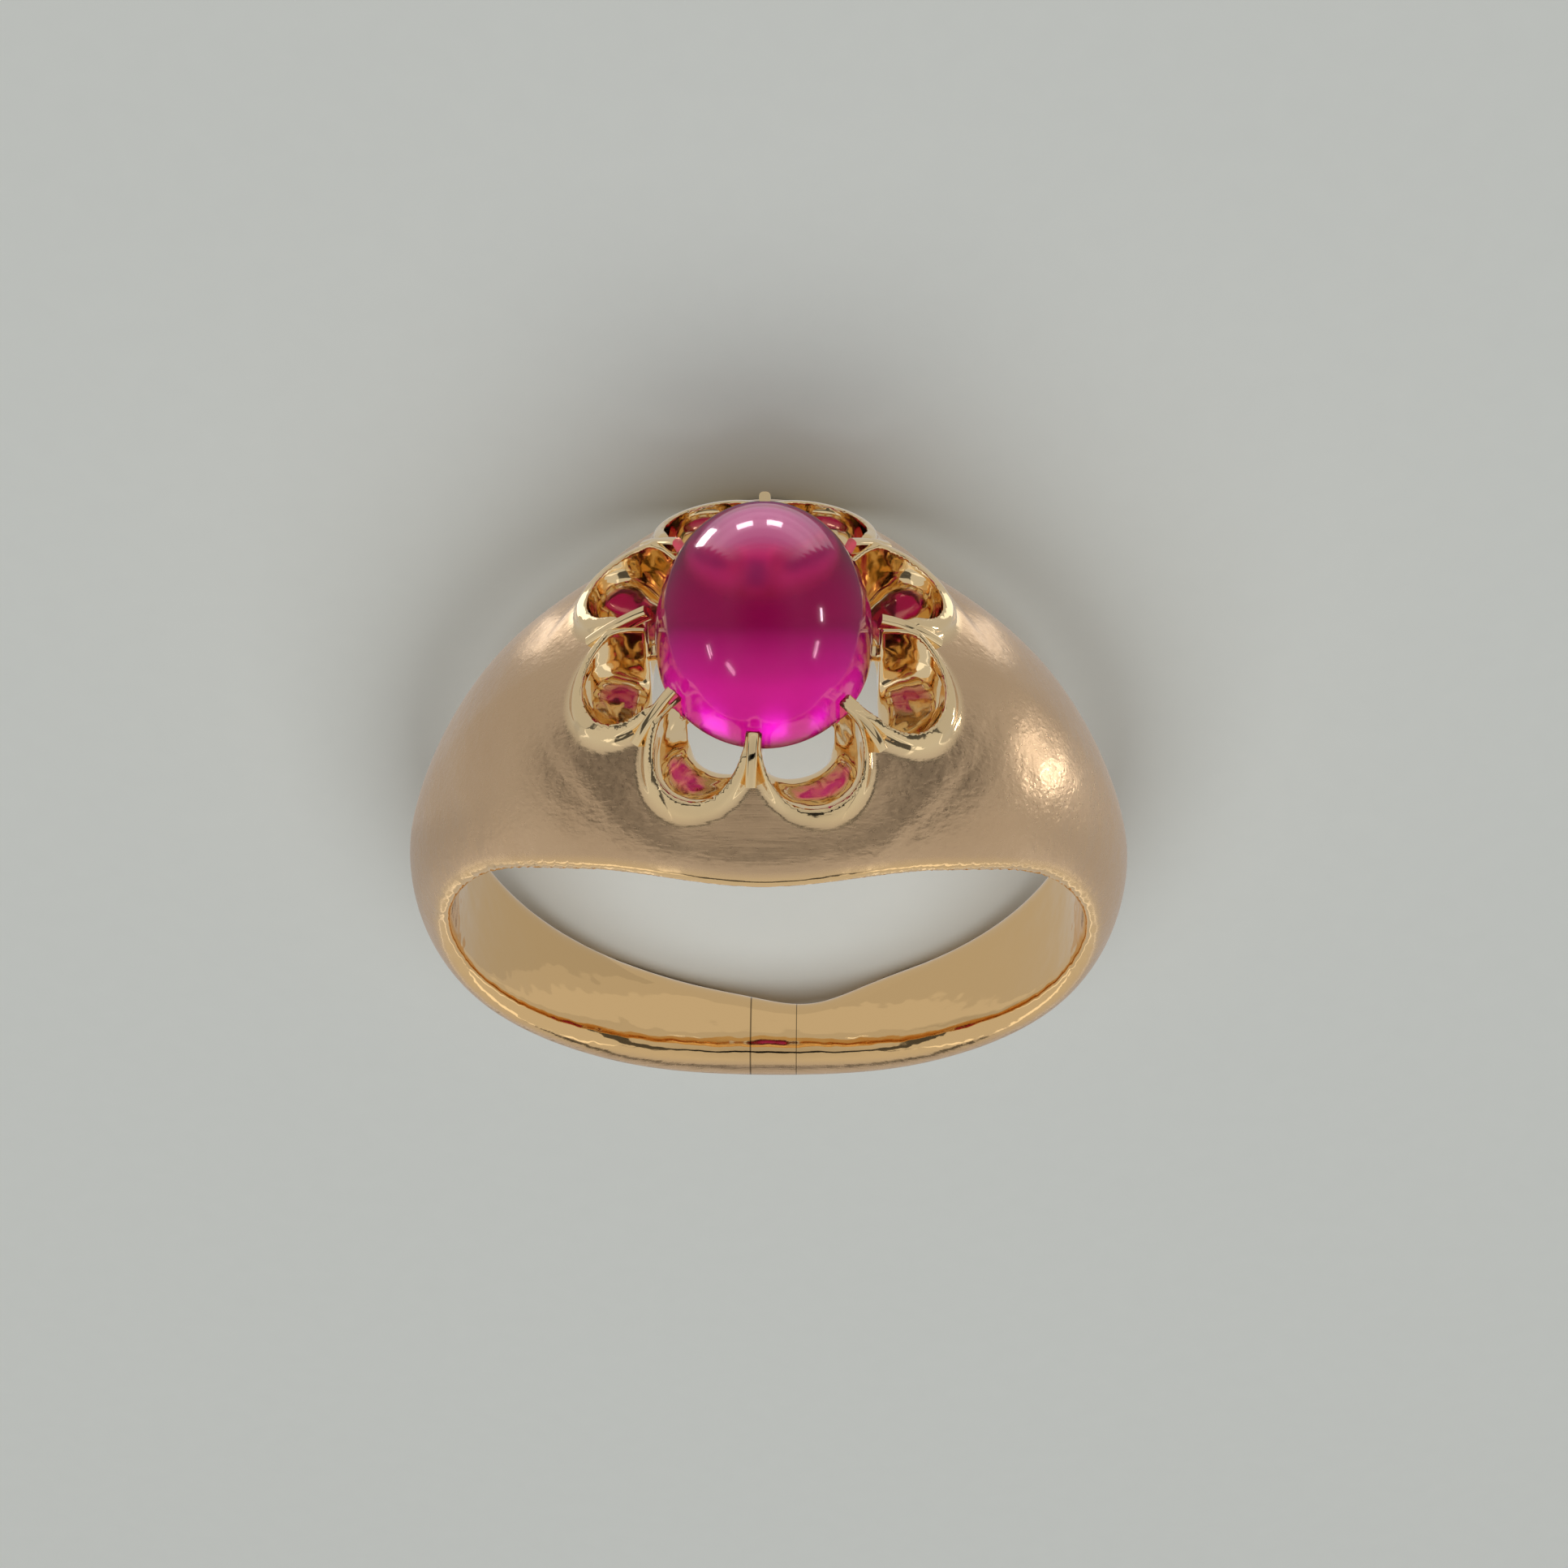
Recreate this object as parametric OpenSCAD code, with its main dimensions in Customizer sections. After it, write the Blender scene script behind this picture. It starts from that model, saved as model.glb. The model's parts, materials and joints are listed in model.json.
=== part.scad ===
// Cabochon ring: a tapering gold band that swells into a fluted crown of eight scooped petals,
// whose eight claws hold one high-domed oval stone. The ring lies on the back edge of its head and
// on the two sides of its narrow shank, as it rests on a table. Millimetres, +Z up.

/* [Band] */
// Radius of the finger hole
bore_r = 9; // [8.8:0.1:9.2]
// Height of the flat land along both edges of the band
edge_land = 0.25; // [0.15:0.05:0.35]
// Half width of the head in front of the stone
head_front = 6.42; // [6.2:0.02:6.6]
// Half width of the head behind the stone
head_back = 6; // [5.8:0.05:6.2]
// Half width of the band at the sides of the finger
side_half = 2.38; // [2.2:0.02:2.6]
// Half width of the shank at the bottom
bottom_half = 1.37; // [1.2:0.01:1.5]
// Thickness of the head and shoulders
shoulder_thick = 2.3; // [2.1:0.05:2.4]
// Thickness of the band at the sides of the finger
side_thick = 1.36; // [1.2:0.02:1.5]
// Thickness of the shank at the bottom
bottom_thick = 1.5; // [1.3:0.05:1.6]
// How far the back edge of the shank is worn in at the bottom
worn_dip = 0.4; // [0:0.05:0.4]

/* [Crown] */
// Number of petals, and of claws between them
petals = 8; // [8]
// Height of the crown's edge above the axis of the finger hole
rim_height = 10.45; // [10.4:0.05:10.6]
// Distance of the crown's edge from its middle
rim_reach = 5.15; // [5.1:0.05:5.2]
// Usual reach of the petals' hollows from the middle of the crown
petal_reach = 4.97; // [4.9:0.01:5]
// Usual width of the polished lip round each petal
lip = 0.25; // [0.2:0.01:0.28]
// Depth of the grooves between the petals
groove_depth = 0.4; // [0.3:0.05:0.5]

/* [Claws] */
// Thickness of the claws and of the walls between the petals
claw_thick = 0.42; // [0.36:0.02:0.46]
// How far the claws stand out from the side of the stone
claw_depth = 0.3; // [0.25:0.01:0.35]
// Usual height of the claws' tips above the girdle of the stone
claw_rise = 0.85; // [0.8:0.05:0.9]

/* [Stone] */
// Half length of the stone, along the finger
stone_long = 3.3; // [3.2:0.01:3.4]
// Half width of the stone, across the finger
stone_wide = 2.84; // [2.8:0.01:2.9]
// Height of the stone's girdle above the axis of the finger hole
girdle_height = 11.09; // [11.05:0.01:11.15]
// Height of the dome above the girdle
dome_height = 3.85; // [3.7:0.05:4]
// Depth of the stone below the girdle
base_depth = 0.5; // [0.4:0.05:0.5]
// Gap between the stone and the gold
seat_gap = 0.04; // [0.03:0.01:0.05]

/* [Hidden] */

gold = [0.78, 0.62, 0.44];
ruby = [0.72, 0.05, 0.36];

// In the ring's own frame x runs across the finger, y up through the stone and z along the finger.
// Columns of the band's table, one row for each angle from the head
FRONT = 1;
BACK = 2;
THICK = 3;
FULLNESS = 4;
band = [
    [0, head_front, head_back, shoulder_thick, 1.7],
    [30, 5.12, 4.25, shoulder_thick, 1.5],
    [60, 3.27, 3.2, 1.45, 1.6],
    [90, side_half, side_half, side_thick, 1.7],
    [120, 2.14, 2.14, side_thick, 2],
    [150, 1.78, 1.78, side_thick, 2.8],
    [180, bottom_half, bottom_half, bottom_thick, 3.8],
];
inner_r = bore_r - 0.6;
worn_place = 1.2;
worn_reach = 1.6;

// The band's sections are close together at the head and wider apart along the shank
head_end = 44;
head_step = 2;
shank_sections = 25;
section_steps = 30;
shank_step = (180 - head_end) / shank_sections;
half_turn = [
    each [0:head_step:head_end - head_step],
    for (i = [0:shank_sections - 1]) head_end + i * shank_step,
];
section_angles = [each half_turn, 180, for (i = [len(half_turn) - 1:-1:1]) -half_turn[i]];

// Columns of the petals' table, one row for each level of a hollow from the bottom up, measured from
// the crown's edge; REACH is less than the petal's own, and DEEP is the part of it that the end takes
LEVEL = 0;
REACH = 1;
DEEP = 2;
hollow = [
    [-2.4, -2.3, 0.2],
    [-1.65, -2.15, 0.2],
    [-1.3, -1.65, 0.22],
    [-0.9, -1, 0.25],
    [-0.5, -0.43, 0.27],
    [-0.2, -0.13, 0.277],
    [0.15, 0, 0.277],
    [2, 0, 0.277],
];
petal_turn = 360 / petals;
arc_steps = 14;
crown_sides = 64;
cup_sides = 40;
cup_below = 1.2;
cup_above = 1.5;
cup_taper = 0.1;
crown_inside = 4;
crown_lean = 1.5;
crown_below = 0.9;
well_wide = 3;
well_long = 2.85;
well_depth = 3;
well_height = 4;

// The crown was cut by hand; one row for each claw and the petal after it, from the right-hand claw round
// by the front. TURN is how far the claw stands from its even place and TIP how much higher its tip is
// than the usual one. FURTHER is how much further the petal reaches and WIDER how much wider its lip is
// than the usual, and STEEP stretches the hollow downwards, most at the sides where the band drops away
TURN = 0;
TIP = 1;
FURTHER = 2;
WIDER = 3;
STEEP = 4;
claws = [
    [0, 0, 0.05, 0, 1.5],
    [3, -0.45, 0.2, -0.13, 1],
    [3.5, -0.25, 0.14, -0.05, 1],
    [0, 0, 0, 0, 1.5],
    [0, 0.35, 0, 0.02, 1.5],
    [0, 0.3, 0.05, 0.02, 1],
    [0, 1, 0.05, 0, 1],
    [0, 0.3, 0, 0.02, 1.5],
];
function claw_angle(i) = i * petal_turn + claws[i % petals][TURN];
function petal_angle(i) = (claw_angle(i) + claw_angle(i + 1)) / 2;
function half_wedge(i) = (claw_angle(i + 1) - claw_angle(i)) / 2;
function petal_end(i) = petal_reach + claws[i][FURTHER];
claw_root = 4.4;
claw_foot = 0.15;
claw_sunk = 0.03;
claw_slope = 0.2;
under_stone = 0.78;
over_stone = 0.85;
stone_sides = 40;
dome_steps = 12;
base_size = 0.82;
base_shoulder = 0.25;
shoulder_size = 0.96;
bore_length = 20;
bore_sides = 96;

// Smooth curve through one column of a table whose first column rises
function slope_at(table, k, i) =
    i == 0 || i == len(table) - 1 ? 0
    : (table[i + 1][k] - table[i - 1][k]) / (table[i + 1][0] - table[i - 1][0]);
function row_before(table, x, i = 0) =
    i >= len(table) - 2 || x < table[i + 1][0] ? i : row_before(table, x, i + 1);
function column_at(table, k, x) =
    let (
        i = row_before(table, x),
        step = table[i + 1][0] - table[i][0],
        t = (x - table[i][0]) / step,
        t2 = t * t,
        t3 = t2 * t
    )
    (2 * t3 - 3 * t2 + 1) * table[i][k] + (t3 - 2 * t2 + t) * step * slope_at(table, k, i)
    + (3 * t2 - 2 * t3) * table[i + 1][k] + (t3 - t2) * step * slope_at(table, k, i + 1);

// Wear of the shank's back edge, a shallow dip to one side of the bottom
function wear_at(angle) =
    cos(angle) > 0 ? 0 : worn_dip * exp(-pow((bore_r * sin(angle) - worn_place) / worn_reach, 2));

// Outline of the band at an angle from the head, from its front edge over the outside to its back edge
function band_section(angle) =
    let (
        a = abs(angle),
        front = column_at(band, FRONT, a),
        back = column_at(band, BACK, a) - wear_at(angle),
        arch = column_at(band, THICK, a) - edge_land,
        power = 2 / column_at(band, FULLNESS, a),
        out = [sin(angle), cos(angle), 0]
    )
    [
        inner_r * out + [0, 0, front],
        for (i = [0:section_steps])
            let (
                s = 90 - 180 * i / section_steps,
                z = (s < 0 ? -back : front) * pow(abs(sin(s)), power),
                rise = arch * pow(max(cos(s), 0), power)
            )
            (bore_r + edge_land + rise) * out + [0, 0, z],
        inner_r * out - [0, 0, back],
    ];
band_sections = [for (angle = section_angles) band_section(angle)];

// Faces between rings of equal size; in a loop the last ring joins the first
function strips(rings, size, loop) = [
    for (i = [0:rings - (loop ? 1 : 2)], j = [0:size - 1])
        let (k = (i + 1) % rings, m = (j + 1) % size)
        each [
            [i * size + j, i * size + m, k * size + m],
            [i * size + j, k * size + m, k * size + j],
        ]
];
function joined(lists) = [for (list = lists) each list];

module skin(rings, loop = false) {
    size = len(rings[0]);
    first = [for (j = [size - 1:-1:0]) j];
    last = [for (j = [0:size - 1]) (len(rings) - 1) * size + j];
    polyhedron(
        points = joined(rings),
        faces = concat(strips(len(rings), size, loop), loop ? [] : [first, last])
    );
}

// Outline of a hollow seen from above: straight along both claws and half an ellipse at its outer end,
// which takes the given part of the run from the corner between the claws
function claw_corner(i) = claw_thick / 2 / sin(half_wedge(i));
function hollow_ring(i, row) =
    let (
        corner = claw_corner(i),
        run = petal_end(i) + row[REACH] - corner,
        deep = row[DEEP] * run,
        middle = run - deep,
        wide = tan(half_wedge(i)) * sqrt(middle * middle - deep * deep),
        half_sweep = acos(-deep / middle),
        height = rim_height + row[LEVEL] * (row[LEVEL] < 0 ? claws[i][STEEP] : 1)
    )
    [
        [corner, height, 0],
        for (j = [0:arc_steps])
            let (a = (2 * j / arc_steps - 1) * half_sweep)
            [corner + middle + deep * cos(a), height, wide * sin(a)],
    ];

module petal_hollow(i) {
    rotate([0, -petal_angle(i), 0]) skin([for (row = hollow) hollow_ring(i, row)]);
}

module petal_cup(i) {
    spread = sin(half_wedge(i));
    edge = lip + claws[i][WIDER];
    r = (petal_end(i) - claw_corner(i)) * spread / (1 + spread) + edge;
    rotate([0, -petal_angle(i), 0])
        translate([petal_end(i) + edge - r, rim_height - cup_below, 0])
            rotate([-90, 0, 0])
                cylinder(r1 = r + cup_taper, r2 = r, h = cup_below + cup_above, $fn = cup_sides);
}

// Cone of the crown, at 45 degrees and a little higher at the back, lowered by a depth
module crown_cone(lowered) {
    edge = rim_reach - lowered + crown_below;
    translate([0, rim_height, 0])
        rotate([crown_lean - 90, 0, 0])
            translate([0, 0, -crown_below])
                cylinder(r1 = edge, r2 = crown_inside, h = edge - crown_inside, $fn = crown_sides);
}

module crown() {
    crown_cone(groove_depth);
    intersection() {
        crown_cone(0);
        for (i = [0:petals - 1]) petal_cup(i);
    }
}

// Open well below the stone, which only the claws reach into
module well() {
    translate([0, rim_height - well_depth, 0])
        rotate([-90, 0, 0])
            scale([well_wide, well_long, 1])
                cylinder(r = 1, h = well_height, $fn = stone_sides);
}

// Ring of the stone at a height above its girdle, and grown by a gap
function stone_ring(rise, size, gap) = [
    for (i = [0:stone_sides - 1])
        let (a = 360 * i / stone_sides)
        [(stone_wide * size + gap) * cos(a), girdle_height + rise, (stone_long * size + gap) * sin(a)]
];

// Rings of the stone from the edge of its base to near the top of the dome
function stone_rings(gap) = [
    stone_ring(-base_depth - gap, base_size, gap),
    stone_ring(-base_shoulder, shoulder_size, gap),
    for (i = [0:dome_steps - 1])
        let (a = 90 * i / dome_steps)
        stone_ring((dome_height + gap) * sin(a), cos(a), gap * cos(a)),
];
stone_top = [0, girdle_height + dome_height, 0];

module stone_form(gap = 0) {
    rings = stone_rings(gap);
    top = len(rings) * stone_sides;
    polyhedron(
        points = [each joined(rings), stone_top + [0, gap, 0]],
        faces = [
            each strips(len(rings), stone_sides, false),
            [for (j = [stone_sides - 1:-1:0]) j],
            for (j = [0:stone_sides - 1]) [top, top - stone_sides + j, top - stone_sides + (j + 1) % stone_sides],
        ]
    );
}

// Distance from the middle to the stone's side in a direction seen from above
function stone_side(angle) = 1 / norm([cos(angle) / stone_wide, sin(angle) / stone_long]);

module claw(i) {
    angle = claw_angle(i);
    side = stone_side(angle);
    tip = girdle_height + claw_rise + claws[i][TIP];
    foot = rim_height - claw_foot;
    bed = girdle_height - base_depth;
    rotate([0, -angle, 0])
        translate([0, 0, -claw_thick / 2])
            linear_extrude(height = claw_thick)
                polygon([
                    [side * under_stone, foot],
                    [claw_root, foot],
                    [claw_root, rim_height + rim_reach - claw_root - claw_sunk],
                    [crown_inside, rim_height + rim_reach - crown_inside],
                    [side + claw_depth, tip - claw_slope],
                    [side + claw_depth / 2, tip],
                    [side * over_stone, tip - claw_sunk],
                    [side * over_stone, bed],
                    [side * under_stone, bed],
                ]);
}

module gold_form() {
    difference() {
        union() {
            difference() {
                union() {
                    skin(band_sections, loop = true);
                    crown();
                }
                for (i = [0:petals - 1]) petal_hollow(i);
                well();
            }
            for (i = [0:petals - 1]) claw(i);
        }
        stone_form(seat_gap);
    }
}

// How the ring comes to rest: it tips on the back edge of its head until the shank meets the table
outer_points = joined(band_sections);
shank_points = [for (p = outer_points) if (p.y < 0 && p.z < 0 && norm([p.x, p.y]) > bore_r) p];
rest_tilt = min([for (p = shank_points) atan((p.z + head_back) / (bore_r - p.y))]);
rest_height = head_back * cos(rest_tilt) - bore_r * sin(rest_tilt);
function depth_at_rest(p) = p.y * cos(rest_tilt) - p.z * sin(rest_tilt);
lowest_y = min([for (p = outer_points) depth_at_rest(p)]);
highest_y = max([for (p = [each joined(stone_rings(0)), stone_top]) depth_at_rest(p)]);
middle_y = (lowest_y + highest_y) / 2;

module at_rest() {
    translate([0, -middle_y, rest_height]) rotate([rest_tilt, 0, 0]) children();
}

module ring_mount() {
    color(gold)
        at_rest()
            difference() {
                resize([0, 0, 0]) gold_form();
                cylinder(r = bore_r, h = bore_length, center = true, $fn = bore_sides);
            }
}

module cabochon_stone() {
    color(ruby) at_rest() stone_form();
}

ring_mount();
cabochon_stone();
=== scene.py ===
"""Cabochon ring: a tapering gold band with a fluted crown of eight petals, whose claws hold an oval ruby."""

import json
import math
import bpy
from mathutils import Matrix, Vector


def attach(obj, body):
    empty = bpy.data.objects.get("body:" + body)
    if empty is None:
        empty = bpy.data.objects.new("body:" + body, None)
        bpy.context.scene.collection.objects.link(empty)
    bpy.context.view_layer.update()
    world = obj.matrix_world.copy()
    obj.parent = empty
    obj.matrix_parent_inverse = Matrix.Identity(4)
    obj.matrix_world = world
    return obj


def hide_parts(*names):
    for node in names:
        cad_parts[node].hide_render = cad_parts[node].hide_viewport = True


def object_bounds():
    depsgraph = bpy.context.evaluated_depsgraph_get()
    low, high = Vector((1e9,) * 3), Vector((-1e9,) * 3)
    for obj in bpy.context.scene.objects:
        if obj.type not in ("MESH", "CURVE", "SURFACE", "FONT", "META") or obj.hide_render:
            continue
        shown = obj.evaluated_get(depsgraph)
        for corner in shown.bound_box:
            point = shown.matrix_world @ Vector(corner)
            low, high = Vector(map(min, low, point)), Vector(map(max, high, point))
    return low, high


bl_info = {
    "name": "Cabochon ring",
    "version": (1, 0, 0),
    "blender": (4, 5, 0),
    "location": "View3D > Sidebar > Ring",
    "description": "Builds a gold ring with a fluted crown and a high-domed ruby",
    "category": "Add Mesh",
}

import bpy
import numpy as np
from mathutils import Matrix, Vector

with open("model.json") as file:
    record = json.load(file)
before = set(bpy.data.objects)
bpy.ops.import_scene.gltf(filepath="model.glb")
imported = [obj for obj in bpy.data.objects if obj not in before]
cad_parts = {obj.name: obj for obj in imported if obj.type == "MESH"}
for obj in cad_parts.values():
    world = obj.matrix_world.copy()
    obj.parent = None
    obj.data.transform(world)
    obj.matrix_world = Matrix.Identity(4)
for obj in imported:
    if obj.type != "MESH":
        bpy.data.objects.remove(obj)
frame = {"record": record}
cad_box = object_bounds()

MM = 0.001
IMAGE_SIZE = 1932
BORE = next(m for m in frame["record"]["mounts"] if m["kind"] == "bore")

# In the ring's own frame, in millimetres, x runs across the finger, y up through the stone and z along
# the finger. The bore's axis and the middle of its wall give the way the ring lies; that middle is a
# little in front of the stone, because the head is wider there.
BORE_POINT = Vector(BORE["pos_m"]) / MM
BORE_ALONG = 0.21
LEAN = math.atan2(-BORE["axis"][1], BORE["axis"][2])

# Columns of the band's table after the angle from the head
FRONT, BACK, THICK, FULLNESS = range(1, 5)

# Columns of the hollows' table, one row for each level from the bottom up, measured from the crown's edge.
# REACH is less than the petal's own, and DEEP is the part of it that the round end takes. The floors are
# flatter than the solid's, because flat floors mirror the ruby.
LEVEL, REACH, DEEP = range(3)
HOLLOW = np.array([
    (-2.4, -2.3, 0.2),
    (-1.3, -1.9, 0.2),
    (-1.05, -1.74, 0.21),
    (-0.85, -1.45, 0.23),
    (-0.7, -1.1, 0.25),
    (-0.5, -0.6, 0.27),
    (-0.3, -0.25, 0.277),
    (-0.1, -0.08, 0.277),
    (0.15, 0.0, 0.277),
    (2.0, 0.0, 0.277),
])

# The crown was cut by hand; one row for each claw and the petal after it, from the right-hand claw round
# by the front. TURN is how far the claw stands from its even place, TIP how much higher its tip is than
# usual, FURTHER how much further the petal reaches, WIDER how much wider its lip is, and STEEP stretches
# the hollow downwards.
TURN, TIP, FURTHER, WIDER, STEEP = range(5)
CLAWS = (
    (0.0, 0.0, 0.05, 0.0, 1.5),
    (3.0, -0.45, 0.2, -0.13, 1.0),
    (3.5, -0.25, 0.14, -0.05, 1.0),
    (0.0, 0.0, 0.0, 0.0, 1.5),
    (0.0, 0.35, 0.0, 0.02, 1.5),
    (0.0, 0.3, 0.05, 0.02, 1.0),
    (0.0, 1.0, 0.05, 0.0, 1.0),
    (0.0, 0.3, 0.0, 0.02, 1.5),
)
PETAL_TURN = 360 / len(CLAWS)

# How square the stone's edge is below the girdle: 2 is round
BASE_SHARPNESS = 10

# How steeply a petal's hollow may narrow downwards
HOLLOW_DRAW = 1.35

# The band's inner edges are more worn from this height down, over this length, by up to this much
WEAR_TOP = 4.0
WEAR_LENGTH = 12.0
WEAR_MOST = 0.9

# Where the crown stands on the band: above this height and within this distance of its middle
CROWN_FOOT = 6.8
CROWN_SPREAD = 6.4

# Fillets and rounded edges: of the crown on the band, of its petals on the crown, along its foot and its
# top, and where the hollows, the well and the stone's seat are cut
BAND_FILLET = 0.35
CUP_FILLET = 0.22
FOOT_FILLET = 0.3
TOP_EDGE = 0.1
HOLLOW_EDGE = 0.09
WELL_EDGE = 0.12
SEAT_EDGE = 0.03

# Bars under the stone: where they start, as a part of the way to its side, and half their width and height
SEAT_START = 0.78
SEAT_HALF_WIDTH = 0.19
SEAT_HALF_HEIGHT = 0.16

# A claw's middle line starts sunk in the crown, bends at a knee and ends below the claw's tip, this far
# from the stone; a higher tip needs more room, because it leans in further
ROOT_REACH = 4.5
ROOT_SUNK = 0.3
KNEE_REACH = 3.9
KNEE_SUNK = 0.2
TIP_ROUND = 0.16
CLAW_ROOM = 0.21
HIGH_CLAW_ROOM = 0.06

# Spacing of the grid that the gold's surface is found on, near the crown and elsewhere
FINE = 0.087
COARSE = 0.25
COARSE_EDGE = 0.1


def linear(code, alpha=1.0):
    """The scene-linear colour of an sRGB hex value."""
    parts = [int(code[i:i + 2], 16) / 255 for i in (1, 3, 5)]
    return tuple(c / 12.92 if c <= 0.04045 else ((c + 0.055) / 1.055) ** 2.4 for c in parts) + (alpha,)


def length_property(name, description, default):
    """A length in millimetres that a user may change."""
    return bpy.props.FloatProperty(name=name, description=description, default=default, precision=3)


def colour_property(name, description, code):
    """A colour that a user may change."""
    return bpy.props.FloatVectorProperty(
        name=name, description=description, default=linear(code), subtype="COLOR", size=4, min=0, max=1)


class BandSizes(bpy.types.PropertyGroup):
    """Sizes of the band, in millimetres."""

    bore: length_property("Bore", "Radius of the finger hole", BORE["dims"]["r_mm"])
    land: length_property("Land", "Height of the flat land along both edges", 0.25)
    head_front: length_property("Head front", "Half width of the head in front of the stone", 6.42)
    head_back: length_property("Head back", "Half width of the head behind the stone", 6.0)
    side: length_property("Side", "Half width of the band at the sides of the finger", 2.38)
    bottom: length_property("Bottom", "Half width of the shank at the bottom", 1.37)
    shoulder_thick: length_property("Shoulder thickness", "Thickness of the head and shoulders", 2.3)
    side_thick: length_property("Side thickness", "Thickness of the band at the sides", 1.36)
    bottom_thick: length_property("Bottom thickness", "Thickness of the shank at the bottom", 1.5)
    worn_dip: length_property("Worn dip", "How far the back edge of the shank is worn in", 0.4)
    edge_round: length_property("Edge rounding", "Wear of the band's inner edges", 0.12)


class CrownSizes(bpy.types.PropertyGroup):
    """Sizes of the crown and its claws, in millimetres."""

    rim: length_property("Rim height", "Height of the crown's edge above the finger hole's axis", 10.45)
    reach: length_property("Rim reach", "Distance of the crown's edge from its middle", 5.15)
    petal: length_property("Petal reach", "Usual reach of the petals' hollows", 4.97)
    lip: length_property("Lip", "Usual width of the polished lip round each petal", 0.25)
    groove: length_property("Groove depth", "Depth of the grooves between the petals", 0.4)
    inside: length_property("Inside", "Distance of the flat top from the middle", 4.0)
    below: length_property("Below", "How far the crown goes down into the band below its edge", 0.9)
    lean: bpy.props.FloatProperty(
        name="Lean", description="How much higher the crown is at the back", default=math.radians(1.5),
        subtype="ANGLE")
    well_wide: length_property("Well width", "Half width of the open well below the stone", 3.0)
    well_long: length_property("Well length", "Half length of the open well below the stone", 2.85)
    claw_thick: length_property("Claw thickness", "Thickness of the claws and of the walls below them", 0.42)
    claw_rise: length_property("Claw rise", "Usual height of the claws' tips above the girdle", 0.85)
    claw_depth: length_property("Claw depth", "How far the claws stand out from the stone", 0.3)


class StoneSizes(bpy.types.PropertyGroup):
    """Sizes of the stone, in millimetres."""

    long: length_property("Half length", "Half length of the stone, along the finger", 3.3)
    wide: length_property("Half width", "Half width of the stone, across the finger", 2.84)
    girdle: length_property("Girdle height", "Height of the girdle above the finger hole's axis", 11.09)
    dome: length_property("Dome", "Height of the dome above the girdle", 3.84)
    base: length_property("Base", "Depth of the stone below the girdle", 0.5)
    gap: length_property("Gap", "Gap between the stone and the gold", 0.04)


class Finish(bpy.types.PropertyGroup):
    """Colours of the ring's materials."""

    gold: colour_property("Gold", "Colour of the gold", "#F0C98F")
    ruby: colour_property("Ruby", "Colour that the ruby lets through", "#F126D1")
    floor: colour_property("Floor", "Colour of the floor", "#D4D7D2")


def at_rest(points):
    """Points of the ring's own frame, in millimetres, as they lie on the table, in metres."""
    x, y, z = np.moveaxis(np.asarray(points, float), -1, 0)
    z = z - BORE_ALONG
    placed = np.stack([
        BORE_POINT.x + x,
        BORE_POINT.y + y * math.cos(LEAN) - z * math.sin(LEAN),
        BORE_POINT.z + y * math.sin(LEAN) + z * math.cos(LEAN),
    ], -1)
    return placed * MM


def turned(direction):
    """A direction of the ring's own frame as it lies on the table."""
    return Matrix.Rotation(LEAN, 3, "X") @ Vector(direction)


def column(table, k, x):
    """Smooth curve through one column of a table whose first column rises."""
    start = table[:, 0]
    value = table[:, k]
    slope = np.zeros(len(table))
    slope[1:-1] = (value[2:] - value[:-2]) / (start[2:] - start[:-2])
    i = np.clip(np.searchsorted(start, x, side="right") - 1, 0, len(table) - 2)
    step = start[i + 1] - start[i]
    t = (x - start[i]) / step
    t2 = t * t
    t3 = t2 * t
    return ((2 * t3 - 3 * t2 + 1) * value[i] + (t3 - 2 * t2 + t) * step * slope[i]
            + (3 * t2 - 2 * t3) * value[i + 1] + (t3 - t2) * step * slope[i + 1])


def smooth_max(a, b, k):
    """The larger of two distances, with the crease between them rounded over k."""
    h = np.maximum(k - np.abs(a - b), 0) / k
    return np.maximum(a, b) + h * h * k / 4


def smooth_min(a, b, k):
    """The smaller of two distances, with a fillet of about k between them."""
    return -smooth_max(-a, -b, k)


def claw_angle(i):
    """Angle of a claw seen from above, from the right round by the front, in degrees."""
    return i * PETAL_TURN + CLAWS[i % len(CLAWS)][TURN]


def stone_side(angle, stone):
    """Distance from the middle to the stone's side in a direction seen from above."""
    return 1 / math.hypot(math.cos(angle) / stone.wide, math.sin(angle) / stone.long)


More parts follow.
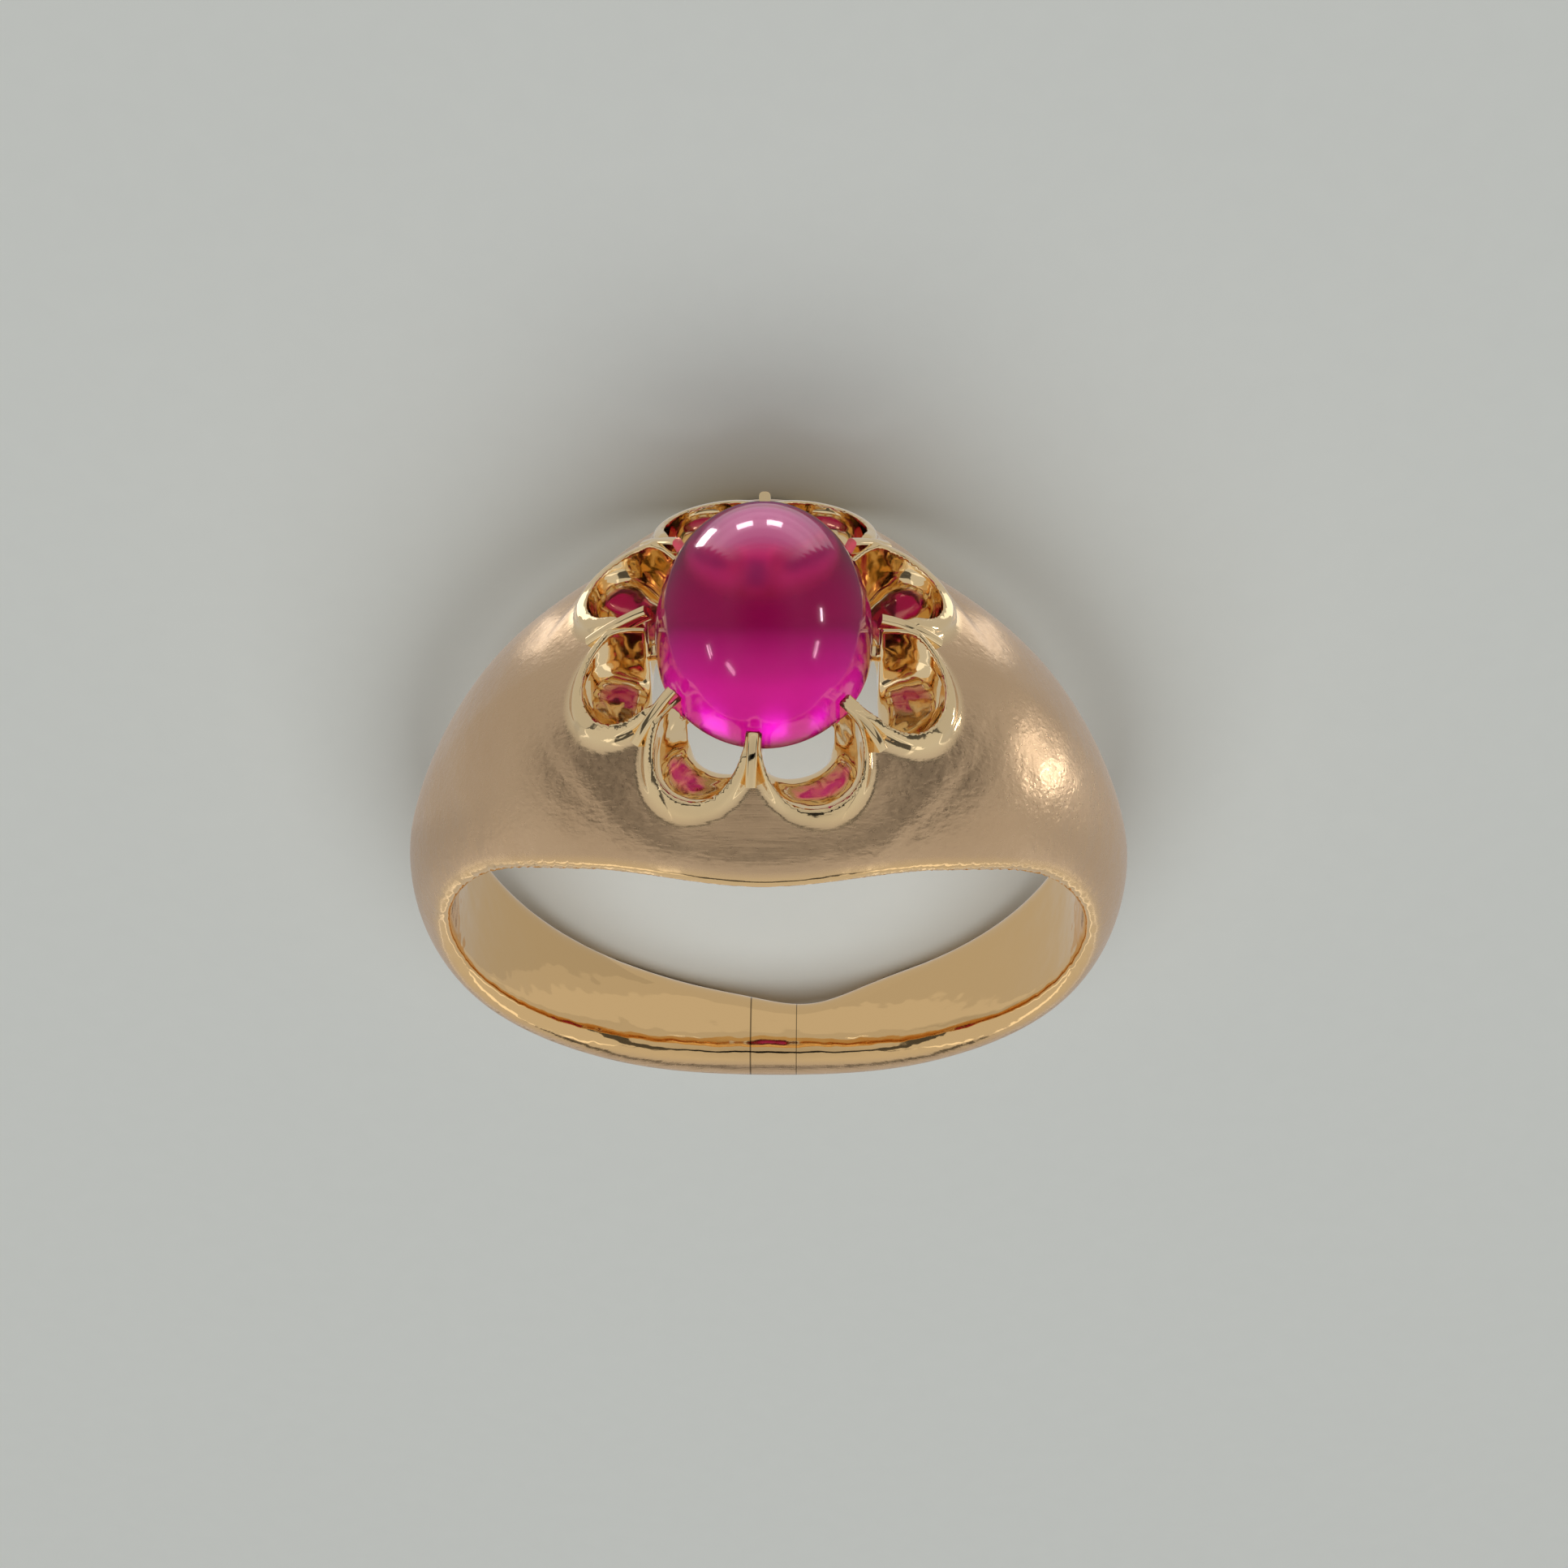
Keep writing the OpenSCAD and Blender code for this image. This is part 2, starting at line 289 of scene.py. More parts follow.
class Gold:
    """Distance of points to the surface of the gold, below zero inside it, and where it is polished."""

    def __init__(self, band, crown, stone):
        self.band = band
        self.crown = crown
        self.stone = stone
        thick = (band.shoulder_thick, band.side_thick, band.bottom_thick)
        self.table = np.array([
            (0, band.head_front, band.head_back, thick[0], 1.7),
            (30, 5.12, 4.25, thick[0], 1.5),
            (60, 3.27, 3.2, 1.45, 1.6),
            (90, band.side, band.side, thick[1], 1.7),
            (120, 2.14, 2.14, thick[1], 2.0),
            (150, 1.78, 1.78, thick[1], 2.8),
            (180, band.bottom, band.bottom, thick[2], 3.8),
        ])

    def band_distance(self, x, y, z):
        """Distance to the band without its bore: half a superellipse across, on a flat land."""
        radius = np.hypot(x, y)
        angle = np.degrees(np.arctan2(np.abs(x), y))
        wear = self.band.worn_dip * np.exp(-(((x / np.maximum(radius, 1)) * self.band.bore - 1.2) / 1.6) ** 2)
        back = column(self.table, BACK, angle) - np.where(y < 0, wear, 0)
        half = np.where(z > 0, column(self.table, FRONT, angle), back)
        arch = column(self.table, THICK, angle) - self.band.land
        n = column(self.table, FULLNESS, angle)
        across = np.maximum(np.abs(z) / half, 1e-6)
        above = np.maximum((radius - self.band.bore - self.band.land) / arch, 1e-6)
        total = across ** n + above ** n
        size = total ** (1 / n)
        steepness = size / total * np.hypot(across ** (n - 1) / half, above ** (n - 1) / arch)
        return (size - 1) / np.maximum(steepness, 0.05)

    def hollow_distance(self, i, x, y, z):
        """Distance to one petal's hollow: a wedge between two claws with a round end, drawn in downwards."""
        turn = math.radians((claw_angle(i) + claw_angle(i + 1)) / 2)
        half = math.radians((claw_angle(i + 1) - claw_angle(i)) / 2)
        corner = self.crown.claw_thick / 2 / math.sin(half)
        level = y - self.crown.rim
        level = np.where(level < 0, level / CLAWS[i][STEEP], level)
        level = np.clip(level, HOLLOW[0, LEVEL], HOLLOW[-1, LEVEL])
        run = self.crown.petal + CLAWS[i][FURTHER] + column(HOLLOW, REACH, level) - corner
        deep = column(HOLLOW, DEEP, level) * run
        middle = run - deep
        wide = math.tan(half) * np.sqrt(middle ** 2 - deep ** 2)
        along = x * math.cos(turn) + z * math.sin(turn) - corner
        squeeze = deep / wide
        aside = np.abs(z * math.cos(turn) - x * math.sin(turn)) * squeeze
        sine = deep / middle
        cosine = np.sqrt(1 - sine ** 2)
        on_wall = aside * sine + along * cosine < middle * cosine
        wall = aside * cosine - along * sine
        end = np.hypot(along - middle, aside) - deep
        ahead = np.where(on_wall, -sine, (along - middle) / np.maximum(end + deep, 1e-3))
        sideways = np.where(on_wall, cosine, aside / np.maximum(end + deep, 1e-3))
        draw = np.where(level < 0, HOLLOW_DRAW / CLAWS[i][STEEP], 0) * np.maximum(ahead, 0)
        return np.where(on_wall, wall, end) / np.sqrt(ahead ** 2 + (sideways * squeeze) ** 2 + draw ** 2)

    def cup_distance(self, x, y, z):
        """Distance to the nearest of the round petals' outsides."""
        nearest = np.full(np.shape(x), 99.0)
        for i, row in enumerate(CLAWS):
            turn = math.radians((claw_angle(i) + claw_angle(i + 1)) / 2)
            spread = math.sin(math.radians((claw_angle(i + 1) - claw_angle(i)) / 2))
            corner = self.crown.claw_thick / 2 / spread
            end = self.crown.petal + row[FURTHER]
            edge = self.crown.lip + row[WIDER]
            r = (end - corner) * spread / (1 + spread) + edge
            away = end + edge - r
            flare = 0.04 * np.clip(self.crown.rim + 1.5 - y, 0, 3)
            reach = np.hypot(x - away * math.cos(turn), z - away * math.sin(turn)) - r - flare
            nearest = smooth_min(nearest, reach, 0.08)
        return nearest

    def stone_distance(self, x, y, z):
        """Distance to the stone, grown by its gap."""
        stone = self.stone
        plan = np.hypot(x / stone.wide, z / stone.long)
        up = (y - stone.girdle) / stone.dome
        dome = (np.hypot(plan, up) - 1) * stone.wide
        n = BASE_SHARPNESS
        plan = np.maximum(plan, 1e-6)
        depth = np.maximum((stone.girdle - y) / stone.base, 0)
        total = plan ** n + depth ** n
        size = total ** (1 / n)
        steepness = size / total * np.hypot(plan ** (n - 1) / stone.wide, depth ** (n - 1) / stone.base)
        below = (size - 1) / steepness
        return np.where(y > stone.girdle, dome, below) - stone.gap

    def seat_distance(self, x, y, z):
        """Distance to the bars that the claws send under the stone."""
        nearest = np.full(np.shape(x), 99.0)
        bed = self.stone.girdle - self.stone.base - self.stone.gap
        for i in range(len(CLAWS)):
            turn = math.radians(claw_angle(i))
            along = x * math.cos(turn) + z * math.sin(turn)
            aside = np.abs(z * math.cos(turn) - x * math.sin(turn))
            start = stone_side(turn, self.stone) * SEAT_START
            bar = np.maximum(np.maximum(start - along, along - self.crown.inside), aside - SEAT_HALF_WIDTH)
            level = np.abs(y - bed + SEAT_HALF_HEIGHT) - SEAT_HALF_HEIGHT
            nearest = np.minimum(nearest, smooth_max(bar, level, 0.08))
        return nearest

    def crown_distance(self, solid, x, y, z):
        """The gold where the crown rises from the band, with its hollows and the well cut out."""
        crown = self.crown
        lean_y = y * math.cos(crown.lean) + z * math.sin(crown.lean)
        plan = np.hypot(x, z)
        slope = (plan + lean_y - crown.rim - crown.reach) / math.sqrt(2)
        top = lean_y - (crown.rim + crown.reach - crown.inside)
        foot = crown.rim - crown.below - lean_y
        floor = smooth_max(slope + crown.groove / math.sqrt(2), top, TOP_EDGE)
        floor = smooth_max(floor, foot, FOOT_FILLET)
        cups = smooth_max(smooth_max(slope, top, TOP_EDGE), self.cup_distance(x, y, z), TOP_EDGE)
        cups = smooth_max(cups, foot, FOOT_FILLET)
        solid = smooth_min(smooth_min(solid, floor, BAND_FILLET), cups, CUP_FILLET)
        for i in range(len(CLAWS)):
            solid = smooth_max(solid, -self.hollow_distance(i, x, y, z), HOLLOW_EDGE)
        well = (np.hypot(x / crown.well_wide, z / crown.well_long) - 1) * crown.well_long
        solid = smooth_max(solid, -well, WELL_EDGE)
        solid = np.minimum(solid, self.seat_distance(x, y, z))
        return smooth_max(solid, -self.stone_distance(x, y, z), SEAT_EDGE)

    def distance(self, x, y, z):
        """Distance to the gold."""
        x, y, z = np.broadcast_arrays(x, y, z)
        solid = self.band_distance(x, y, z)
        near = (y > CROWN_FOOT) & (x * x + z * z < CROWN_SPREAD ** 2)
        solid[near] = self.crown_distance(solid[near], x[near], y[near], z[near])
        worn = self.band.edge_round + WEAR_MOST * np.clip((WEAR_TOP - y) / WEAR_LENGTH, 0, 1)
        return smooth_max(solid, self.band.bore - np.hypot(x, y), worn)

    def polish(self, x, y, z):
        """1 where the gold is bright from polish or from the finger, 0 on the worn outside."""
        cups = self.cup_distance(x, y, z)
        crown = np.clip(1 - cups / 0.25, 0, 1) * (y > 8)
        inside = np.clip(1 - (np.hypot(x, y) - self.band.bore - 0.3) / 0.25, 0, 1)
        return np.maximum(crown, inside)


def spaced(low, fine_low, fine_high, high, fine, coarse):
    """Grid lines that are fine between two places and coarse outside them."""
    return np.concatenate([
        np.linspace(low, fine_low, max(1, round((fine_low - low) / coarse)), endpoint=False),
        np.linspace(fine_low, fine_high, round((fine_high - fine_low) / fine), endpoint=False),
        np.linspace(fine_high, high, max(1, round((high - fine_high) / coarse)) + 1),
    ])


def surface_net(field, axes):
    """Points and four-sided faces of the surface where a field on a grid passes zero, facing outwards."""
    cells = np.array(field.shape) - 1
    strides = np.array([cells[1] * cells[2], cells[2], 1])
    owners = []
    crossings = []
    faces = []
    for axis in range(3):
        u, v = (axis + 1) % 3, (axis + 2) % 3
        inside = field < 0
        changes = np.diff(inside, axis=axis)
        start = np.argwhere(changes)
        lows = (start[:, u] > 0) & (start[:, v] > 0)
        highs = (start[:, u] < cells[u]) & (start[:, v] < cells[v])
        start = start[lows & highs]
        end = start.copy()
        end[:, axis] += 1
        a = field[tuple(start.T)]
        b = field[tuple(end.T)]
        points = np.stack([axes[d][start[:, d]] for d in range(3)], -1)
        points[:, axis] += a / (a - b) * (axes[axis][end[:, axis]] - axes[axis][start[:, axis]])
        around = []
        for du, dv in ((-1, -1), (0, -1), (0, 0), (-1, 0)):
            cell = start.copy()
            cell[:, u] += du
            cell[:, v] += dv
            around.append(cell @ strides)
            owners.append(around[-1])
            crossings.append(points)
        quads = np.stack(around, -1)
        faces.append(np.where((a < 0)[:, None], quads, quads[:, ::-1]))
    names, index = np.unique(np.concatenate(owners), return_inverse=True)
    count = np.bincount(index)
    crossings = np.concatenate(crossings)
    points = np.stack([np.bincount(index, crossings[:, d]) / count for d in range(3)], -1)
    return points, np.searchsorted(names, np.concatenate(faces))


def slope_at(distance, points, step=0.004):
    """Outward direction of a distance at points, one unit long where the distance is true."""
    parts = []
    for d in range(3):
        shift = np.zeros(3)
        shift[d] = step
        parts.append((distance(*(points + shift).T) - distance(*(points - shift).T)) / (2 * step))
    return np.stack(parts, -1)


def new_mesh(name, points, faces):
    """A smooth mesh of points in metres."""
    mesh = bpy.data.meshes.new(name)
    mesh.from_pydata(points.tolist(), [], faces.tolist())
    mesh.shade_smooth()
    return mesh


def place(name, mesh, material, body_slot, *nodes):
    """Puts a finished piece in the scene, on the ring's body and in place of its CAD nodes."""
    piece = bpy.data.objects.new(name, mesh)
    bpy.context.scene.collection.objects.link(piece)
    mesh.materials.clear()
    mesh.materials.append(material)
    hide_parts(*nodes)
    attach(piece, "root")
    return piece


def add(tree, kind, links=None, **settings):
    """Adds a node with its settings, and with each input linked to a socket or set to a value."""
    node = tree.nodes.new(kind)
    for name, value in settings.items():
        setattr(node, name, value)
    for key, value in (links or {}).items():
        socket = node.inputs[key]
        if isinstance(value, bpy.types.NodeSocket):
            tree.links.new(value, socket)
        else:
            socket.default_value = value
    return node


def calculate(tree, operation, *values):
    """The output of a Math node on sockets or numbers."""
    return add(tree, "ShaderNodeMath", dict(enumerate(values)), operation=operation).outputs[0]


def new_geometry_tree(name, sizes):
    """An empty geometry tree whose named inputs are a geometry, lengths and a material."""
    tree = bpy.data.node_groups.new(name, "GeometryNodeTree")
    tree.is_modifier = True
    tree.interface.new_socket("Geometry", in_out="INPUT", socket_type="NodeSocketGeometry")
    for size in sizes:
        tree.interface.new_socket(size, in_out="INPUT", socket_type="NodeSocketFloat")
    tree.interface.new_socket("Material", in_out="INPUT", socket_type="NodeSocketMaterial")
    tree.interface.new_socket("Geometry", in_out="OUTPUT", socket_type="NodeSocketGeometry")
    return tree, add(tree, "NodeGroupInput").outputs


def finish_tree(tree, geometry, material):
    """Ends a geometry tree in Realize Instances and Set Material."""
    solid = add(tree, "GeometryNodeRealizeInstances", {"Geometry": geometry})
    painted = add(tree, "GeometryNodeSetMaterial", {"Geometry": solid.outputs[0], "Material": material})
    add(tree, "NodeGroupOutput", {"Geometry": painted.outputs[0]})


def grown(tree, mesh, values):
    """The plain mesh that a geometry tree makes of a base mesh, with the tree's inputs set by name."""
    base = bpy.data.objects.new(tree.name, mesh)
    bpy.context.scene.collection.objects.link(base)
    modifier = base.modifiers.new(tree.name, "NODES")
    modifier.node_group = tree
    for item in tree.interface.items_tree:
        if item.in_out == "INPUT" and item.name in values:
            modifier[item.identifier] = values[item.name]
    evaluated = base.evaluated_get(bpy.context.evaluated_depsgraph_get())
    result = bpy.data.meshes.new_from_object(evaluated)
    bpy.data.objects.remove(base)
    return result


# Turns a shape that was made with its height along z into the ring's own frame and then to rest
STAND = Matrix.Rotation(-math.pi / 2, 4, "X")
REST = (Matrix.Translation(BORE_POINT * MM) @ Matrix.Rotation(LEAN, 4, "X")
        @ Matrix.Scale(MM, 4) @ Matrix.Translation((0, 0, -BORE_ALONG)))


def claw_tree():
    """Claws as rounded bars, bent from the crown's edge up to the stone's side."""
    sizes = ("Thickness", "Depth", "Root reach", "Root height", "Knee reach", "Knee height")
    tree, given = new_geometry_tree("Claws", sizes)
    path = add(tree, "GeometryNodeMeshLine", {"Count": 24, "Offset": (1 / 23, 0, 0)}, mode="OFFSET")
    set_out = add(tree, "GeometryNodeInstanceOnPoints",
                  {"Points": given["Geometry"], "Instance": path.outputs[0]})
    paths = add(tree, "GeometryNodeRealizeInstances", {"Geometry": set_out.outputs[0]})
    place_on_path = add(tree, "GeometryNodeInputPosition")
    t = add(tree, "ShaderNodeSeparateXYZ", {0: place_on_path.outputs[0]}).outputs["X"]
    own = {}
    for name in ("turn", "grip", "tip"):
        own[name] = add(tree, "GeometryNodeInputNamedAttribute", {"Name": name}, data_type="FLOAT").outputs[0]
    rest = calculate(tree, "SUBTRACT", 1.0, t)
    first = calculate(tree, "MULTIPLY", rest, rest)
    second = calculate(tree, "MULTIPLY", calculate(tree, "MULTIPLY", rest, t), 2.0)
    third = calculate(tree, "MULTIPLY", t, t)
    bent = []
    for start, knee, end in (("Root reach", "Knee reach", "grip"), ("Root height", "Knee height", "tip")):
        a = calculate(tree, "MULTIPLY", first, given[start])
        b = calculate(tree, "MULTIPLY_ADD", second, given[knee], a)
        bent.append(calculate(tree, "MULTIPLY_ADD", third, own[end], b))
    x = calculate(tree, "MULTIPLY", bent[0], calculate(tree, "COSINE", own["turn"]))
    y = calculate(tree, "MULTIPLY", bent[0], calculate(tree, "SINE", own["turn"]))
    spot = add(tree, "ShaderNodeCombineXYZ", {"X": x, "Y": y, "Z": bent[1]})
    moved = add(tree, "GeometryNodeSetPosition", {"Geometry": paths.outputs[0], "Position": spot.outputs[0]})
    curve = add(tree, "GeometryNodeMeshToCurve", {"Mesh": moved.outputs[0]})
    upright = add(tree, "GeometryNodeSetCurveNormal", {"Curve": curve.outputs[0]}, mode="Z_UP")
    share = add(tree, "GeometryNodeSplineParameter").outputs["Factor"]
    near_end = calculate(tree, "MAXIMUM", calculate(tree, "MULTIPLY_ADD", share, 8.0, -7.0), 0.0)
    drop = calculate(tree, "MULTIPLY", near_end, near_end)
    rounded = calculate(tree, "SQRT", calculate(tree, "SUBTRACT", 1.02, drop))
    tapered = add(tree, "GeometryNodeSetCurveRadius", {"Curve": upright.outputs[0], "Radius": rounded})
    outline = add(tree, "GeometryNodeCurvePrimitiveQuadrilateral",
                  {"Width": given["Depth"], "Height": given["Thickness"]})
    soft = add(tree, "GeometryNodeFilletCurve", {"Curve": outline.outputs[0], "Radius": 0.11, "Count": 4},
               mode="POLY")
    bar = add(tree, "GeometryNodeCurveToMesh",
              {"Curve": tapered.outputs[0], "Profile Curve": soft.outputs[0], "Fill Caps": True})
    smooth = add(tree, "GeometryNodeSetShadeSmooth", {"Geometry": bar.outputs[0]})
    finish_tree(tree, smooth.outputs[0], given["Material"])
    return tree


def stone_tree():
    """The stone as a ball drawn out to an oval dome over a shallow back."""
    tree, given = new_geometry_tree("Cabochon", ("Half width", "Half length", "Dome", "Base"))
    ball = add(tree, "GeometryNodeMeshUVSphere", {"Segments": 160, "Rings": 120, "Radius": 1.0})
    where = add(tree, "GeometryNodeInputPosition")
    part = add(tree, "ShaderNodeSeparateXYZ", {0: where.outputs[0]}).outputs
    high = calculate(tree, "POWER", part["Z"], 2.0)
    square = calculate(tree, "MAXIMUM", calculate(tree, "SUBTRACT", 1.0, high), 0.0)
    steep = calculate(tree, "POWER", square, BASE_SHARPNESS / 2)
    flat = calculate(tree, "POWER", calculate(tree, "SUBTRACT", 1.0, steep), 1 / BASE_SHARPNESS)
    below = calculate(tree, "MULTIPLY", calculate(tree, "MULTIPLY", flat, given["Base"]), -1.0)
    above = calculate(tree, "MULTIPLY", part["Z"], given["Dome"])
    is_above = add(tree, "FunctionNodeCompare", {0: part["Z"], 1: 0.0}, data_type="FLOAT",
                   operation="GREATER_THAN").outputs[0]
    height = add(tree, "GeometryNodeSwitch", {"Switch": is_above, "False": below, "True": above},
                 input_type="FLOAT").outputs[0]
    x = calculate(tree, "MULTIPLY", part["X"], given["Half width"])
    y = calculate(tree, "MULTIPLY", part["Y"], given["Half length"])
    spot = add(tree, "ShaderNodeCombineXYZ", {"X": x, "Y": y, "Z": height})
    shaped = add(tree, "GeometryNodeSetPosition", {"Geometry": ball.outputs[0], "Position": spot.outputs[0]})
    smooth = add(tree, "GeometryNodeSetShadeSmooth", {"Geometry": shaped.outputs[0]})
    finish_tree(tree, smooth.outputs[0], given["Material"])
    return tree


def new_material(name):
    """A material with its own Principled shader and the piece's coordinates in millimetres."""
    material = bpy.data.materials.new(name)
    material.use_nodes = True
    tree = material.node_tree
    shader = tree.nodes["Principled BSDF"]
    coordinates = add(tree, "ShaderNodeTexCoord").outputs["Object"]
    in_mm = add(tree, "ShaderNodeMapping", {"Vector": coordinates, "Scale": (1 / MM,) * 3}).outputs[0]
    return material, tree, shader, in_mm


def worn_gold(colour):
    """14 carat gold, cast, filed and polished, then worn.

    The outside has gone satin with fine hairlines and a few casting pits; the crown, where nothing rubs,
    and the bore, which the finger burnishes, are still bright.
    """
    material, tree, shader, mm = new_material("gold_14ct_worn")
    polish = add(tree, "ShaderNodeAttribute", attribute_name="polish").outputs["Fac"]
    cloud = add(tree, "ShaderNodeTexNoise", {"Vector": mm, "Scale": 0.35, "Detail": 3.0}).outputs[0]
    dull = linear("#DEBE98")
    duller = linear("#CDAB85")
    film = add(tree, "ShaderNodeMix", {"Factor": cloud, "A": duller, "B": dull}, data_type="RGBA")
    # Painted highlight: the polish is painted paler on the crown than in the bore, to stand in for the whiter
    # glints on the crown's lips
    spot = add(tree, "ShaderNodeSeparateXYZ", {0: mm}).outputs
    crown_highlight_mask = add(tree, "ShaderNodeMapRange",
                   {"Value": spot["Y"], "From Min": 5.0, "From Max": 7.0}).outputs[0]
    bright = add(tree, "ShaderNodeMix", {"Factor": crown_highlight_mask, "A": tuple(colour), "B": linear("#F5D9A8")},
                 data_type="RGBA")
    tint = add(tree, "ShaderNodeMix", {"Factor": polish, "A": film.outputs["Result"],
                                       "B": bright.outputs["Result"]}, data_type="RGBA")
    # Two hairline solder seams of a sizing piece. They run round the whole shank, though the photograph
    # shows them only on its inside.
    seams = [calculate(tree, "COMPARE", spot["X"], x, wide) for x, wide in ((-0.66, 0.025), (0.78, 0.015))]
    in_shank = calculate(tree, "LESS_THAN", spot["Y"], -5.0)
    seam = calculate(tree, "MULTIPLY", calculate(tree, "MAXIMUM", seams[0], seams[1]), in_shank)
    seam = calculate(tree, "MULTIPLY", seam, 0.7)
    marked = add(tree, "ShaderNodeMix", {"Factor": seam, "A": tint.outputs["Result"], "B": linear("#3A2C1C")},
                 data_type="RGBA")
    tree.links.new(marked.outputs["Result"], shader.inputs["Base Color"])
    # Hairlines 0.03 to 0.1 mm wide and a few millimetres long, in two directions
    hair = []
    for turn, seed in ((0.5, 0.0), (2.1, 7.0)):
        laid = add(tree, "ShaderNodeMapping", {"Vector": mm, "Location": (seed, 0, 0),
                                               "Rotation": (0.3, 0.4, turn), "Scale": (0.35, 9, 9)})
        hair.append(add(tree, "ShaderNodeTexNoise",
                        {"Vector": laid.outputs[0], "Scale": 1.0, "Detail": 2.0}).outputs[0])
    scratches = calculate(tree, "MULTIPLY", hair[0], hair[1])
    # Grain of the worn skin, about 0.1 mm
    grain = add(tree, "ShaderNodeTexNoise", {"Vector": mm, "Scale": 6.0, "Detail": 4.0}).outputs[0]
    pit = add(tree, "ShaderNodeTexVoronoi", {"Vector": mm, "Scale": 0.45}).outputs["Distance"]
    pits = calculate(tree, "MINIMUM", calculate(tree, "MULTIPLY", pit, 16.0), 1.0)
    skin = calculate(tree, "MULTIPLY_ADD", grain, 0.6, calculate(tree, "MULTIPLY_ADD", scratches, 1.5, pits))
    worn = calculate(tree, "SUBTRACT", 1.0, calculate(tree, "MULTIPLY", polish, 0.93))
    # Waves left by the file, 1 to 2 mm across
    wave = add(tree, "ShaderNodeTexNoise", {"Vector": mm, "Scale": 0.7, "Detail": 2.0}).outputs[0]
    waves = add(tree, "ShaderNodeBump", {"Height": wave, "Strength": 1.0, "Distance": 0.07 * MM})
    bump = add(tree, "ShaderNodeBump", {"Height": skin, "Strength": calculate(tree, "MULTIPLY", worn, 0.35),
                                        "Distance": 0.03 * MM, "Normal": waves.outputs[0]})
    tree.links.new(bump.outputs[0], shader.inputs["Normal"])
    satin = calculate(tree, "MULTIPLY_ADD", grain, 0.2, 0.2)
    rough = add(tree, "ShaderNodeMix", {"Factor": polish, "A": satin, "B": 0.07})
    tree.links.new(rough.outputs[0], shader.inputs["Roughness"])
    shader.inputs["Metallic"].default_value = 1.0
    return material


def polished_ruby(colour):
    """Ruby, cut as a cabochon and polished: glassy and deep pink, with a little silk.

    The colour is in the stone's depth, so it is deepest where the light goes furthest through it.
    """
    material, tree, shader, mm = new_material("ruby_cabochon_polished")
    silk = add(tree, "ShaderNodeTexNoise", {"Vector": mm, "Scale": 0.7, "Detail": 4.0}).outputs[0]
    tint = add(tree, "ShaderNodeMix", {"Factor": silk, "A": linear("#F4E0EA"), "B": linear("#FFFFFF")},
               data_type="RGBA")
    tree.links.new(tint.outputs["Result"], shader.inputs["Base Color"])
    depth = add(tree, "ShaderNodeVolumeAbsorption", {"Color": tuple(colour), "Density": 800.0})
    tree.links.new(depth.outputs[0], tree.nodes["Material Output"].inputs["Volume"])
    shader.inputs["Roughness"].default_value = 0.14
    shader.inputs["IOR"].default_value = 1.77
    shader.inputs["Specular Tint"].default_value = linear("#FFD8EC")
    shader.inputs["Transmission Weight"].default_value = 1.0
    shader.inputs["Coat Weight"].default_value = 1.0
    shader.inputs["Coat Roughness"].default_value = 0.02
    shader.inputs["Coat IOR"].default_value = 1.5
    return material


def painted_floor(colour):
    """Matt painted board: even, with a very fine tooth."""
    material, tree, shader, mm = new_material("board_painted_matt")
    tooth = add(tree, "ShaderNodeTexNoise", {"Vector": mm, "Scale": 1.2, "Detail": 3.0}).outputs[0]
    shade = tuple(c * 0.97 for c in colour[:3]) + (1.0,)
    tint = add(tree, "ShaderNodeMix", {"Factor": tooth, "A": shade, "B": tuple(colour)}, data_type="RGBA")
    tree.links.new(tint.outputs["Result"], shader.inputs["Base Color"])
    shader.inputs["Roughness"].default_value = 0.8
    return material


def store(mesh, name, values):
    """Keeps a number for each point of a mesh."""
    mesh.attributes.new(name, "FLOAT", "POINT").data.foreach_set("value", np.asarray(values, np.float32))


class RING_OT_mount(bpy.types.Operator):
    """Builds the band and its fluted crown"""

    bl_idname = "ring.mount"
    bl_label = "Build the gold mount"

    def execute(self, context):
        scene = context.scene
        gold = Gold(scene.ring_band, scene.ring_crown, scene.ring_stone)
        axes = (
            spaced(-10.8, -5.9, 5.9, 10.8, FINE, COARSE),
            spaced(-10.9, 8.1, 11.9, 12.1, FINE, COARSE),
            spaced(-6.3, -5.6, 5.7, 6.7, FINE, COARSE_EDGE),
        )
        field = gold.distance(*np.meshgrid(*axes, indexing="ij"))
        points, faces = surface_net(field, axes)
        # The net's points are brought on to the surface itself
        for _ in range(3):
            slope = slope_at(gold.distance, points)
            length = np.maximum(np.sum(slope ** 2, -1), 0.2)
            step = np.clip(gold.distance(*points.T) / length, -0.03, 0.03)
            points = points - slope * step[:, None]
        # A few points would stand up to 0.01 mm out of the solids' box, and are kept in it
        low, high = (np.array(corner) for corner in cad_box)
        mesh = new_mesh("gold_mount", np.clip(at_rest(points), low, high), faces)
        slope = slope_at(gold.distance, points)
        slope /= np.linalg.norm(slope, axis=-1, keepdims=True)
        lean = np.array(Matrix.Rotation(LEAN, 3, "X"))
        mesh.normals_split_custom_set_from_vertices((slope @ lean.T).tolist())
        store(mesh, "polish", gold.polish(*points.T))
        place("gold_mount", mesh, worn_gold(scene.ring_finish.gold), "gold", "ring_mount")
        return {"FINISHED"}


